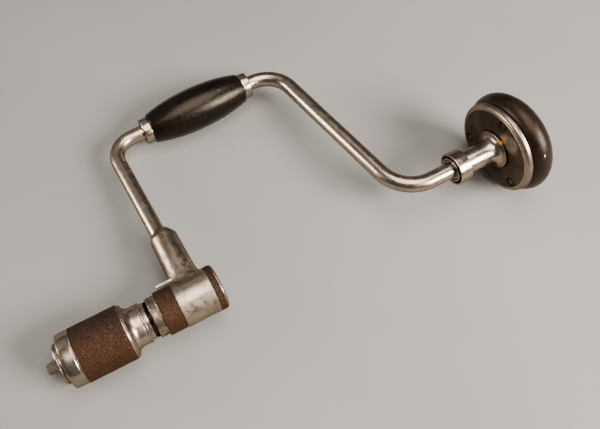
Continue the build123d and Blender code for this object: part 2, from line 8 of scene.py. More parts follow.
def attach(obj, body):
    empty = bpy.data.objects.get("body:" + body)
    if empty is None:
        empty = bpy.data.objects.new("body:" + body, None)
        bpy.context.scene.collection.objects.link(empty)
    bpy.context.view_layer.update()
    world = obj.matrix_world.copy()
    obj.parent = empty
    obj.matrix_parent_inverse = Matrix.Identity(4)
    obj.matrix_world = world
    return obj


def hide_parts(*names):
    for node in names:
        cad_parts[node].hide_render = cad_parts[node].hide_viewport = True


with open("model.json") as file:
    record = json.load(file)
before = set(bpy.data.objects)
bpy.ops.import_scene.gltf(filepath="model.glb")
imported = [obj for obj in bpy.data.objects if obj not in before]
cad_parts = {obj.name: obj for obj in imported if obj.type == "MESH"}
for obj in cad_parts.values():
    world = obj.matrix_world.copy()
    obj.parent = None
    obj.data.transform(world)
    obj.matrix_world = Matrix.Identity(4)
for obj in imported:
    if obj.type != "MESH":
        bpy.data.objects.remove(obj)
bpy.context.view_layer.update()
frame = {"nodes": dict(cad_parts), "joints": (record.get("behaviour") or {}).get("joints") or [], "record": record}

MM = 0.001
SCENE = bpy.context.scene

# ------------------------------------------------------------------ driving dimensions
# Stations along the main axis, and radii, in millimetres: where the turned pieces meet the CAD.

NOSE_FRONT_X = -83.2
NOSE_FLANGE_X = (-77.9, -76.1)
NOSE_REAR_X = -73.5
NOSE_RADIUS = 12.1
NOSE_FLANGE_RADIUS = 13.4
NOSE_TAIL_RADIUS = 11.4
NOSE_CONE_RADII = (5.8, 9.3)
GROOVE_DEPTH = 0.7

SLEEVE_FRONT_X = -79.8
KNURL_FRONT_X = -71.4
KNURL_REAR_X = -42.0
SLEEVE_REAR_X = -30.3
GRIP_RADIUS = 16.55
BAND_RADIUS = 16.2
SLEEVE_COLLAR_RADIUS = 11.8
SLEEVE_MOUTH_RADIUS = 12.4
SLEEVE_STEP_RADIUS = 13.7
SLEEVE_STEP_X = -73.9
SLEEVE_BORE_RADIUS = 11.8
SLEEVE_THREAD_X = (-55.0, -52.0)
SLEEVE_THREAD_RADIUS = 8.9

PLAIN_RING_FRONT_X = -25.8
PLAIN_RING_RADIUS = 11.9
PLAIN_RING_STEP = 2.2
PLAIN_RING_STEP_RADIUS = 10.7
PLAIN_RING_BORE = 6.5
SELECTOR_FRONT_X = -20.3
SELECTOR_REAR_X = -9.6
SELECTOR_RADIUS = 13.3
SELECTOR_BORE = 11.3

BARREL_RADIUS = 13.6
BARREL_SPAN_X = (-9.3, 11.3)
CAP_FRONT_X = 11.4
CAP_REAR_X = 16.8
CAP_BORE = 9.1
CAP_RIM_RADIUS = 13.2
SOCKET_X = 0.6
SOCKET_BASE_RADIUS = 9.1
SOCKET_SLOPE = 0.5 / 31.0

ROD_RADIUS = 5.0
ROD_BORE = ROD_RADIUS + 0.02
BEARING_FRONT_X = 173.0
BEARING_REAR_X = 179.0
BEARING_RADIUS = 7.8
COLLAR_MOUTH_X = 173.6
COLLAR_REAR_X = 181.9
COLLAR_RADIUS = 10.2
QUILL_RADIUS = 7.2
QUILL_BORE = 5.1
FLANGE_RADIUS = 12.2
PLATE_FRONT_X = 204.0
PLATE_FACE_RADIUS = 25.7
SCREW_CIRCLE = 22.6
SCREW_ANGLES = (-28, 92, 212)
HEAD_SPIN_X = 215.1

HANDLE_Y = 127.0
HANDLE_LEFT_X = 27.2
HANDLE_RIGHT_X = 95.2
HANDLE_RING_WIDTH = 5.8
HANDLE_RING_RADIUS = 8.8
HANDLE_RING_BORE = 5.9

# The camera, in the brace's own frame: its place in millimetres, its right and up, its lens.
CAMERA_PLACE = (-22.53, -172.99, 360.29)
CAMERA_RIGHT = (0.8954, -0.4219, -0.1425)
CAMERA_UP = (0.4272, 0.7235, 0.5422)
CAMERA_LENS = 41.52
CAMERA_SHIFT = (0.1731, -0.0369)

# The lights all look at the brace's middle. Each has a name, a place in brace millimetres, a size
# in metres, a power in watts and a colour.
MIDDLE = (70, 45, 0)
LIGHTS = [
    ("overhead", (180, -60, 900), (0.80, 0.54), 13, (1.0, 0.94, 0.85)),
    ("front", (560, -600, 460), (0.46, 0.38), 33, (1.0, 0.94, 0.86)),
    ("left_strip", (-900, 520, 200), (0.30, 0.8), 19, (1.0, 0.93, 0.85)),
    ("back_fill", (-250, 900, 800), (1.3, 0.7), 1.0, (1.0, 0.95, 0.90)),
]


# ------------------------------------------------------------------ the brace's own frame

def joint(name):
    return next(j for j in frame["joints"] if j["name"] == name)


def brace_frame():
    """Millimetres along the main axis, toward the crank's handle and up, to the row frame."""
    along = Vector(joint("head_spin")["axis"]).normalized()
    head = Vector(joint("head_spin")["pos_m"])
    side = Vector(joint("handle_spin")["pos_m"]) - head
    side = (side - side.dot(along) * along).normalized()
    turn = Matrix((along, side, along.cross(side))).transposed().to_4x4()
    origin = head - HEAD_SPIN_X * MM * along
    return Matrix.Translation(origin) @ turn @ Matrix.Scale(MM, 4)


BRACE = brace_frame()


# ------------------------------------------------------------------ material building blocks

class Nodes:
    """Small helper for building one material's node tree. Sizes are in millimetres."""

    def __init__(self, name):
        self.material = bpy.data.materials.new(name)
        self.material.use_nodes = True
        self.tree = self.material.node_tree
        self.shader = self.tree.nodes["Principled BSDF"]
        self.plain = self.place()

    def feed(self, socket, value):
        if isinstance(value, bpy.types.NodeSocket):
            self.tree.links.new(value, socket)
        elif isinstance(value, tuple) and len(value) == 3 and socket.type == "RGBA":
            socket.default_value = (*value, 1)
        else:
            socket.default_value = value

    def math(self, operation, first, second=0.0):
        node = self.tree.nodes.new("ShaderNodeMath")
        node.operation = operation
        self.feed(node.inputs[0], first)
        self.feed(node.inputs[1], second)
        return node.outputs[0]

    def add(self, first, second):
        return self.math("ADD", first, second)

    def times(self, first, second):
        return self.math("MULTIPLY", first, second)

    def ramp(self, value, low, high, start=0.0, end=1.0):
        """Maps value from low..high to start..end, held at the ends, with a smooth step."""
        node = self.tree.nodes.new("ShaderNodeMapRange")
        node.interpolation_type = "SMOOTHSTEP"
        self.feed(node.inputs["Value"], value)
        self.feed(node.inputs["From Min"], low)
        self.feed(node.inputs["From Max"], high)
        self.feed(node.inputs["To Min"], start)
        self.feed(node.inputs["To Max"], end)
        return node.outputs["Result"]

    def near(self, value, centre, inner, outer):
        """1 where the value is within inner of the centre, 0 beyond outer."""
        away = self.math("ABSOLUTE", self.math("SUBTRACT", value, centre))
        return self.ramp(away, inner, outer, 1.0, 0.0)

    def mix(self, share, first, second):
        node = self.tree.nodes.new("ShaderNodeMix")
        node.data_type = "RGBA"
        self.feed(node.inputs[0], share)
        self.feed(node.inputs[6], first)
        self.feed(node.inputs[7], second)
        return node.outputs[2]

    def paint(self, base, mask, strength, colour):
        """The base with a colour laid over it at this strength where the mask is 1."""
        return self.mix(self.times(mask, strength), base, colour)

    def place(self, stretch=(1, 1, 1)):
        """Brace coordinates in millimetres, then stretched along each of the brace's axes."""
        coords = self.tree.nodes.new("ShaderNodeTexCoord").outputs["Object"]
        inverse = BRACE.inverted()
        turn = self.tree.nodes.new("ShaderNodeMapping")
        turn.inputs["Location"].default_value = inverse.translation
        turn.inputs["Rotation"].default_value = inverse.to_euler()
        turn.inputs["Scale"].default_value = inverse.to_scale()
        self.feed(turn.inputs["Vector"], coords)
        if stretch == (1, 1, 1):
            return turn.outputs[0]
        pull = self.tree.nodes.new("ShaderNodeMapping")
        pull.inputs["Scale"].default_value = stretch
        self.feed(pull.inputs["Vector"], turn.outputs[0])
        return pull.outputs[0]

    def axis(self, letter):
        """One brace coordinate in millimetres, by its letter."""
        split = self.tree.nodes.new("ShaderNodeSeparateXYZ")
        self.feed(split.inputs[0], self.plain)
        return split.outputs[letter]

    def radius(self):
        """Distance from the main axis."""
        y = self.axis("Y")
        z = self.axis("Z")
        return self.math("SQRT", self.add(self.times(y, y), self.times(z, z)))

    def noise(self, size, detail=4.0, rough=0.5, coords=None):
        node = self.tree.nodes.new("ShaderNodeTexNoise")
        self.feed(node.inputs["Vector"], coords or self.plain)
        node.inputs["Scale"].default_value = 1 / size
        node.inputs["Detail"].default_value = detail
        node.inputs["Roughness"].default_value = rough
        return node.outputs["Fac"]

    def cells(self, size):
        node = self.tree.nodes.new("ShaderNodeTexVoronoi")
        self.feed(node.inputs["Vector"], self.plain)
        node.inputs["Scale"].default_value = 1 / size
        return node.outputs["Distance"]

    def spot(self, centre, size, ragged=0.6, stretch=(1, 1, 1)):
        """1 inside a ragged spot at a brace point, 0 outside; a stretch above 1 narrows it."""
        away = self.tree.nodes.new("ShaderNodeVectorMath")
        away.operation = "DISTANCE"
        self.feed(away.inputs[0], self.place(stretch))
        away.inputs[1].default_value = tuple(c * pull for c, pull in zip(centre, stretch))
        wobble = self.times(self.noise(size * 0.8, 3), ragged * size)
        return self.ramp(self.add(away.outputs["Value"], wobble), size, size * 1.5, 1.0, 0.0)

    def pits(self, size, amount, cluster=9.0):
        """Pits of about this size that gather in clusters; amount 0 is almost none, 1 is heavy."""
        gather = self.noise(cluster, 3)
        reach = self.ramp(gather, 0.64 - 0.28 * amount, 0.80 - 0.28 * amount, -0.1, 0.30)
        return self.ramp(self.math("SUBTRACT", self.cells(size), reach), 0.0, 0.10, 1.0, 0.0)

    def bump(self, height, distance, strength=1.0, below=None):
        """Distance is in millimetres."""
        node = self.tree.nodes.new("ShaderNodeBump")
        node.inputs["Strength"].default_value = strength
        node.inputs["Distance"].default_value = distance * MM
        self.feed(node.inputs["Height"], height)
        if below is not None:
            self.feed(node.inputs["Normal"], below)
        return node.outputs[0]

    def dent(self, mask, depth, below=None):
        """Sinks the surface where the mask is 1."""
        return self.bump(self.times(mask, -1.0), depth, below=below)

    def edges(self, width, low=0.02, high=0.25):
        """How sharply the surface turns within width: 0 on flats, 1 on edges."""
        bevel = self.tree.nodes.new("ShaderNodeBevel")
        bevel.samples = 4
        bevel.inputs["Radius"].default_value = width * MM
        geometry = self.tree.nodes.new("ShaderNodeNewGeometry")
        dot = self.tree.nodes.new("ShaderNodeVectorMath")
        dot.operation = "DOT_PRODUCT"
        self.feed(dot.inputs[0], bevel.outputs[0])
        self.feed(dot.inputs[1], geometry.outputs["Normal"])
        return self.ramp(self.math("SUBTRACT", 1.0, dot.outputs["Value"]), low, high)

    def output(self, **values):
        for key, value in values.items():
            self.feed(self.shader.inputs[key.replace("_", " ")], value)


# ------------------------------------------------------------------ colours and marks
# Colours are linear. Marks are at brace points in millimetres, with a size where it varies.

NICKEL = (0.365, 0.292, 0.223)
# Dull nickel: brown stain and a duller socket, and on the plate's rim a painted dark reflection.
DULL_NICKEL = (0.165, 0.125, 0.092)
RUBBED_NICKEL = (0.60, 0.52, 0.43)
NICKEL_TINT = (0.42, 0.38, 0.34, 1)
SHALLOW_PIT = (0.08, 0.055, 0.04)
RUSTED_PIT = (0.10, 0.045, 0.022)
DEEP_PIT = (0.020, 0.013, 0.010)
SCORED_LINE = (0.14, 0.105, 0.08)
SEAM_DIRT = (0.02, 0.014, 0.010)
# Near-black round the plate's screws: painted shade in their countersinks.
SCREW_PAINTED_SHADE = (0.012, 0.009, 0.007)
# Near-black for the plain ring's front step: painted shade.
STEP_PAINTED_SHADE = (0.014, 0.010, 0.008)
# The plate face's dark colours: a painted dark reflection, varied in clouds.
FACE_DARK = (0.050, 0.037, 0.027)
FACE_CLOUD = (0.095, 0.071, 0.051)
FACE_SPECK = (0.16, 0.12, 0.09)
# Lighter colour for spots on the plate face: painted highlights.
FACE_PAINTED_HIGHLIGHT = (0.42, 0.34, 0.265)
FLANGE_STAIN = (0.14, 0.10, 0.07)
RING_STAIN = (0.10, 0.068, 0.045)
RUST_ORANGE = (0.60, 0.22, 0.01)
WOOD_TINT = (1.0, 0.82, 0.66, 1)
WORN_WOOD = (0.10, 0.045, 0.022)
WOOD_SCUFF = (0.09, 0.055, 0.035)
BARE_WOOD = (0.62, 0.52, 0.42)

SCORED_X = (7.2, 9.1, -8.9)
PITTED = [
    ((-4.9, -8.2, 10.9), 2.6),
    ((-0.8, -11.4, 7.4), 2.4),
    ((3.4, -10.2, 9.0), 1.4),
    ((-3.8, 5.7, 12.4), 2.4),
    ((-2.1, 26.6, 8.5), 1.3),
    ((3.0, 18.0, 8.3), 1.8),
]
PIN_END = (-0.6, 41.9, 8.7)
# Spots on the plate face that are painted highlights.
FACE_HIGHLIGHT_SPOTS = [
    ((PLATE_FRONT_X, -9.0, 15.0), 7.0),
    ((PLATE_FRONT_X, -12.6, 19.4), 1.6),
]
RUST_SPOT = (203.2, -3.9, 10.9)
RUST_SPOT_SIZE = 1.25
SCREW_CENTRES = [
    (PLATE_FRONT_X, SCREW_CIRCLE * math.cos(math.radians(turn)), SCREW_CIRCLE * math.sin(math.radians(turn)))
    for turn in SCREW_ANGLES
]
KNOB_NICK = ((213.7, -26.5, 16.9), 0.5, (2.2, 0.8, 0.45))
HANDLE_NICK = ((78.3, 122.2, 13.4), 0.6, (0.8, 1.0, 1.0))


# ------------------------------------------------------------------ materials

def nickel(name, stain=0.5, pits=0.2, rough=0.22, turned=True, extra=None):
    """Old nickel plate: warm, fine turning lines, brown stain in soft clouds, pits in clusters."""
    n = Nodes(name)
    clouds = n.ramp(n.noise(12, 4), 0.36, 0.68)
    stained = n.times(clouds, n.ramp(n.noise(1.5, 5, 0.6), 0.30, 0.66, 0.25, 1.0))
    small = n.pits(0.5, pits, 7)
    large = n.pits(1.0, 0.7 * pits, 14)
    worn = n.edges(0.3)
    base = n.mix(n.times(stained, stain), NICKEL, DULL_NICKEL)
    base = n.paint(base, small, 0.70, SHALLOW_PIT)
    base = n.paint(base, large, 0.80, RUSTED_PIT)
    base = n.paint(base, worn, 0.3, RUBBED_NICKEL)
    roughness = n.ramp(n.noise(3.5, 4), 0.25, 0.75, rough * 0.85, rough * 1.25)
    roughness = n.add(roughness, n.times(n.math("MAXIMUM", small, large), 0.3))
    roughness = n.add(roughness, n.times(stained, 0.12 * stain))
    roughness = n.add(roughness, n.times(worn, 0.30))
    relief = n.dent(large, 0.05)
    relief = n.dent(small, 0.02, relief)
    if turned:
        lines = n.noise(1.0, 2, 0.5, n.place((3.5, 0.04, 0.04)))
        relief = n.bump(lines, 0.003, 0.6, relief)
    scratches = n.noise(1.0, 3, 0.6, n.place((0.2, 3.0, 3.0)))
    relief = n.bump(scratches, 0.0015, 0.5, relief)
    if extra:
        base, roughness = extra(n, base, roughness)
    n.output(Base_Color=base, Roughness=roughness, Normal=relief, Specular_Tint=NICKEL_TINT)
    n.output(Metallic=n.math("SUBTRACT", 1.0, n.times(large, 0.7)))
    return n.material


def worn_casting(n, base, roughness):
    """Duller socket, scored rings round the barrel, deep pits, and the ring round the crank's pin."""
    socket = n.ramp(n.radius(), BARREL_RADIUS + 0.9, BARREL_RADIUS + 6.4)
    base = n.mix(n.times(socket, n.ramp(n.noise(4, 4), 0.3, 0.6, 0.3, 0.65)), base, DULL_NICKEL)
    barrel = n.near(n.radius(), BARREL_RADIUS + 0.05, 0.25, 0.45)
    for place in SCORED_X:
        line = n.near(n.axis("X"), place, 0.12, 0.3)
        base = n.paint(base, n.times(line, barrel), 0.6, SCORED_LINE)
    deep = n.ramp(n.cells(0.95), 0.29, 0.36, 1.0, 0.0)
    for centre, size in PITTED:
        base = n.paint(base, n.times(n.spot(centre, size, 0.9), deep), 0.95, DEEP_PIT)
    ring = n.math("SUBTRACT", n.spot(PIN_END, 1.3, 0.1), n.spot(PIN_END, 0.7, 0.1))
    return n.paint(base, ring, 0.9, SEAM_DIRT), roughness


def dark_face(n, base, roughness):
    """The plate's flat face is satin and painted dark, a painted dark reflection with cloudy tone; a thin line
    beyond it stays bright nickel, and the rounded rim is half darkened as a painted dark reflection.
    """
    # The face is painted dark in clouds and specks: a painted dark reflection.
    face = n.ramp(n.radius(), PLATE_FACE_RADIUS, PLATE_FACE_RADIUS + 0.4, 1.0, 0.0)
    dark = n.mix(n.ramp(n.noise(17, 4), 0.35, 0.65), FACE_DARK, FACE_CLOUD)
    dark = n.mix(n.ramp(n.noise(2.5, 5, 0.6), 0.5, 0.75, 0.0, 0.35), dark, FACE_SPECK)
    # Lighter spots on the face: painted highlights.
    for centre, size in FACE_HIGHLIGHT_SPOTS:
        dark = n.paint(dark, n.spot(centre, size, 0.8), 0.8, FACE_PAINTED_HIGHLIGHT)
    base = n.paint(base, face, 0.97, dark)
    # The rounded rim is half darkened with dull nickel: a painted dark reflection.
    rim = n.ramp(n.radius(), PLATE_FACE_RADIUS + 0.8, PLATE_FACE_RADIUS + 1.1)
    base = n.paint(base, rim, 0.5, DULL_NICKEL)
    base = n.paint(base, n.near(n.radius(), FLANGE_RADIUS + 0.2, 0.2, 0.9), 0.8, SEAM_DIRT)
    # A near-black disc round each screw: painted shade in its countersink.
    for centre in SCREW_CENTRES:
        base = n.paint(base, n.spot(centre, 2.7, 0.1), 0.8, SCREW_PAINTED_SHADE)
    base = n.mix(n.spot(RUST_SPOT, RUST_SPOT_SIZE, 0.5), base, RUST_ORANGE)
    return base, n.add(roughness, n.times(face, 0.12))


def rusty_flange(n, base, roughness):
    """The quill's flange is stained where it meets the plate, with one spot of orange rust."""
    flange = n.ramp(n.radius(), 9.0, 10.8)
    base = n.paint(base, flange, 0.6, FLANGE_STAIN)
    rust = n.spot(RUST_SPOT, RUST_SPOT_SIZE, 0.5)
    return n.mix(rust, base, RUST_ORANGE), n.add(roughness, n.times(rust, 0.4))


def marked_ring(n, base, roughness):
    """Ring worn in brown patches; the step in front of it is painted near-black as shade."""
    # The step in front of the ring is painted near-black: painted shade.
    step = n.ramp(n.axis("X"), PLAIN_RING_FRONT_X + 0.05, PLAIN_RING_FRONT_X + 0.2, 1.0, 0.0)
    patches = n.ramp(n.noise(2.6, 5, 0.65), 0.42, 0.56)
    base = n.mix(step, n.paint(base, patches, 0.75, RING_STAIN), STEP_PAINTED_SHADE)
    return base, n.add(roughness, n.times(patches, 0.15))


def cap_finish(n, base, roughness):
    """Brown over most of the cap's end; only the turned rim is bright."""
    rim = n.near(n.radius(), CAP_RIM_RADIUS, 0.25, 0.7)
    brown = n.mix(n.ramp(n.noise(5, 5), 0.4, 0.65), (0.050, 0.026, 0.015), (0.030, 0.017, 0.011))
    return n.mix(rim, brown, base), n.add(roughness, n.ramp(rim, 0.0, 1.0, 0.25, 0.0))


def brown_steel(name):
    """Knurled steel gone brown, more orange on one side; dark hollows, a few worn bright crests and painted
    glints.
    """
    n = Nodes(name)
    side = n.add(n.axis("Y"), n.ramp(n.noise(16, 3), 0.2, 0.8, -11.0, 11.0))
    grain = n.noise(0.8, 3, 0.7)
    orange = n.ramp(n.noise(1.3, 4, 0.7), 0.52, 0.68)
    base = n.mix(n.ramp(side, -11.0, 7.0), (0.033, 0.0118, 0.0032), (0.021, 0.0100, 0.0066))
    base = n.mix(n.ramp(grain, 0.40, 0.56, 0.85, 0.0), base, (0.009, 0.005, 0.0035))
    base = n.paint(base, orange, 0.5, (0.075, 0.027, 0.0075))
    # Random bright specks of shinier metal that also stand in for light off the crests: painted glints.
    glints = n.times(n.ramp(n.cells(0.8), 0.14, 0.24, 1.0, 0.0), n.ramp(grain, 0.40, 0.52))
    glints = n.times(glints, n.ramp(n.noise(9, 3), 0.35, 0.60, 0.25, 1.0))
    crest = n.times(n.edges(0.3, 0.02, 0.30), n.ramp(n.noise(1.0, 4, 0.6), 0.54, 0.68))
    # Worn bright crests and the painted glints together.
    rubbed_and_glints = n.math("MAXIMUM", n.times(glints, 0.55), crest)
    base = n.paint(base, rubbed_and_glints, 0.85, (0.40, 0.29, 0.20))
    relief = n.bump(grain, 0.22)
    n.output(Base_Color=base, Normal=n.bump(n.cells(0.6), 0.10, 0.8, relief))
    n.output(Metallic=n.ramp(rubbed_and_glints, 0.0, 0.6, 0.2, 0.95), Specular_IOR_Level=0.12)
    n.output(Roughness=n.ramp(rubbed_and_glints, 0.0, 0.7, 0.62, 0.30))
    return n.material


def dark_wood(name, deep, warm, rough, nick):
    """Stained hardwood, nearly black under old polish: faint grain, browner where it is handled."""
    n = Nodes(name)
    grain = n.noise(1.0, 6, 0.6, n.place((0.05, 0.9, 0.9)))
    pores = n.noise(1.0, 3, 0.6, n.place((0.22, 4.2, 4.2)))
    clouds = n.noise(17, 4)
    worn = n.times(n.edges(0.9, 0.01, 0.16), n.ramp(n.noise(3, 4), 0.35, 0.6))
    scuffs = n.pits(0.7, 0.15, 12)
    base = n.mix(n.ramp(clouds, 0.34, 0.68), deep, warm)
    base = n.paint(base, n.ramp(grain, 0.48, 0.70), 0.5, tuple(1.7 * c for c in warm))
    base = n.paint(base, worn, 0.7, WORN_WOOD)
    base = n.paint(base, scuffs, 0.5, WOOD_SCUFF)
    centre, size, stretch = nick
    base = n.mix(n.spot(centre, size, 0.4, stretch), base, BARE_WOOD)
    roughness = n.ramp(n.noise(2.2, 5, 0.6), 0.3, 0.72, rough * 0.85, rough * 1.35)
    relief = n.dent(scuffs, 0.2, n.bump(pores, 0.020, 0.6))
    n.output(Base_Color=base, Roughness=roughness, Normal=n.bump(clouds, 0.4, 0.3, relief))
    n.output(Specular_IOR_Level=0.21, Specular_Tint=WOOD_TINT)
    return n.material


def steel(name, colour, rough, pits=0.2):
    """Bare or oiled steel of the works and small fasteners."""
    n = Nodes(name)
    smudge = n.noise(2.4, 5, 0.6)
    specks = n.pits(0.5, pits, 6)
    base = n.mix(n.ramp(smudge, 0.35, 0.7), colour, tuple(0.45 * c for c in colour))
    base = n.paint(base, specks, 0.7, (0.05, 0.035, 0.025))
    base = n.paint(base, n.edges(0.35), 0.6, tuple(min(1, 1.6 * c) for c in colour))
    relief = n.dent(specks, 0.06, n.bump(n.noise(0.5, 4), 0.03, 0.6))
    n.output(Base_Color=base, Metallic=1.0, Normal=relief)
    n.output(Roughness=n.ramp(smudge, 0.3, 0.75, rough * 0.8, rough * 1.4))
    return n.material


ROD_LOOK = nickel("rod_nickel_look", stain=0.45, pits=0.18, rough=0.23, turned=False)
CAST_LOOK = nickel("cast_nickel_look", stain=0.75, pits=0.75, rough=0.29, extra=worn_casting)
SLEEVE_LOOK = nickel("sleeve_nickel_look", stain=0.50, pits=0.12, rough=0.25)
RING_LOOK = nickel("ring_nickel_look", stain=0.45, pits=0.10, rough=0.20)
MARKED_LOOK = nickel("worn_ring_look", stain=0.5, pits=0.9, rough=0.24, extra=marked_ring)
PLATE_LOOK = nickel("plate_nickel_look", stain=0.5, pits=0.10, rough=0.30, extra=dark_face)
QUILL_LOOK = nickel("quill_nickel_look", stain=0.45, pits=0.08, rough=0.22, extra=rusty_flange)
CAP_LOOK = nickel("cap_end_look", stain=0.4, pits=0.35, rough=0.24, extra=cap_finish)
BROWN_LOOK = brown_steel("brown_steel_look")
KNOB_LOOK = dark_wood("knob_wood_look", (0.0020, 0.0011, 0.0008), (0.0100, 0.0045, 0.0025),
                      rough=0.36, nick=KNOB_NICK)
HANDLE_LOOK = dark_wood("handle_wood_look", (0.0008, 0.0005, 0.0004), (0.0030, 0.0015, 0.0009),
                        rough=0.28, nick=HANDLE_NICK)
SCREW_LOOK = steel("screw_steel_look", (0.17, 0.13, 0.095), 0.30, 0.4)
JAW_LOOK = steel("jaw_steel_look", (0.17, 0.13, 0.095), 0.46, 0.7)
PIN_LOOK = steel("pin_steel_look", (0.74, 0.66, 0.57), 0.55, 0.1)
DARK_LOOK = steel("dark_steel_look", (0.05, 0.04, 0.032), 0.38)
BRIGHT_LOOK = steel("bright_steel_look", (0.60, 0.53, 0.45), 0.22)

LOOKS = {
    "dark_wood": KNOB_LOOK,
    "plate_nickel": PLATE_LOOK,
    "rod_nickel": ROD_LOOK,
    "cast_nickel": CAST_LOOK,
    "ring_nickel": RING_LOOK,
    "brown_steel": BROWN_LOOK,
    "screw_steel": SCREW_LOOK,
    "jaw_steel": JAW_LOOK,
    "dark_steel": DARK_LOOK,
    "spring_steel": BRIGHT_LOOK,
}
NODE_LOOKS = {
    "handle_barrel": HANDLE_LOOK,
    "head_quill": QUILL_LOOK,
    "selector_plate": MARKED_LOOK,
    "selector_pin": PIN_LOOK,
    "spindle": SLEEVE_LOOK,
}


def slot_of(node):
    return next(s["material_slot"] for s in frame["record"]["subparts"] if s["node"] == node)


def dress_cad_nodes():
    for name, node in frame["nodes"].items():
        node.data.materials.clear()
        node.data.materials.append(NODE_LOOKS.get(name, LOOKS[slot_of(name)]))


# ------------------------------------------------------------------ turned pieces

NEARLY_STRAIGHT = math.radians(160)


def quadratic(start, corner, end, share):
    """A point on the curve from start to end that a corner pulls out."""
    return start * (1 - share) ** 2 + corner * (2 * share * (1 - share)) + end * share ** 2


def eased(outline, ease):
    """A closed outline with each sharp corner rounded over the length ease, less on short sides."""
    result = []
    count = len(outline)
    for index, point in enumerate(outline):
        corner = Vector(point)
        back = Vector(outline[index - 1]) - corner
        ahead = Vector(outline[(index + 1) % count]) - corner
        if back.angle(ahead) > NEARLY_STRAIGHT:
            result.append(tuple(corner))
            continue
        start = corner + back.normalized() * min(ease, 0.45 * back.length)
        end = corner + ahead.normalized() * min(ease, 0.45 * ahead.length)
        for share in (0.0, 0.3, 0.7, 1.0):
            result.append(tuple(quadratic(start, corner, end, share)))
    return result


def finish_piece(name, mesh_maker, body, look, replaced=(), crease=35):
    """Turns a bmesh in brace millimetres into a piece that rides on a body."""
    bmesh.ops.recalc_face_normals(mesh_maker, faces=mesh_maker.faces)
    mesh = bpy.data.meshes.new(name)
    mesh_maker.to_mesh(mesh)
    mesh_maker.free()
    mesh.transform(BRACE)
    mesh.shade_smooth()
    mesh.set_sharp_from_angle(angle=math.radians(crease))
    piece = bpy.data.objects.new(name, mesh)
    SCENE.collection.objects.link(piece)
    mesh.materials.append(look)
    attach(piece, body)
    if replaced:
        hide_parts(*replaced)


def lathe(outline, steps, relief=None, centre_y=0.0):
    """A bmesh turned about the main axis, or the handle's, from a closed (x, radius) outline."""
    maker = bmesh.new()
    rings = []
    for x, radius in outline:
        ring = []
        for step in range(steps):
            angle = math.tau * step / steps
            depth = relief(x, radius, angle) if relief else 0.0
            reach = radius - depth
            place = (x, centre_y + reach * math.cos(angle), reach * math.sin(angle))
            ring.append(maker.verts.new(place))
        rings.append(ring)
    for index, ring in enumerate(rings):
        onward = rings[(index + 1) % len(rings)]
        for step in range(steps):
            after = (step + 1) % steps
            maker.faces.new((ring[step], onward[step], onward[after], ring[after]))
    return maker


def saw(value):
    """A triangle wave: 0 at whole numbers, 1 halfway between."""
    return 1 - abs(2 * (value - math.floor(value)) - 1)


def knurled_band(name, front, rear, crest, bore, pitch, depth, body, replaced):
    """A ring with a diamond knurl of this pitch cut into its outside, worn unevenly at the crests."""
    points_per_tooth = 4
    teeth = round(math.tau * crest / pitch)
    rows = round((rear - front) / pitch) * points_per_tooth
    end_ease = 0.35
    wear_scale = 0.30
    speck_scale = 9
    outside = [(front + (rear - front) * row / rows, crest) for row in range(rows + 1)]
    outline = [(front, bore), *outside, (rear, bore)]

    def relief(x, radius, angle):
        if radius < crest:
            return 0.0
        turn = teeth * angle / math.tau
        along = (x - front) / pitch
        height = min(saw(turn + along), saw(turn - along))
        patch = wear_scale * Vector((x, crest * math.cos(angle), crest * math.sin(angle)))
        worn = 0.78 + 0.30 * noise.noise(patch) + 0.25 * noise.noise(patch * speck_scale)
        end = max(0.0, end_ease - min(x - front, rear - x))
        return depth * (1 - min(height, worn)) + 0.6 * end

    maker = lathe(outline, teeth * points_per_tooth, relief)
    finish_piece(name, maker, body, BROWN_LOOK, replaced, crease=60)


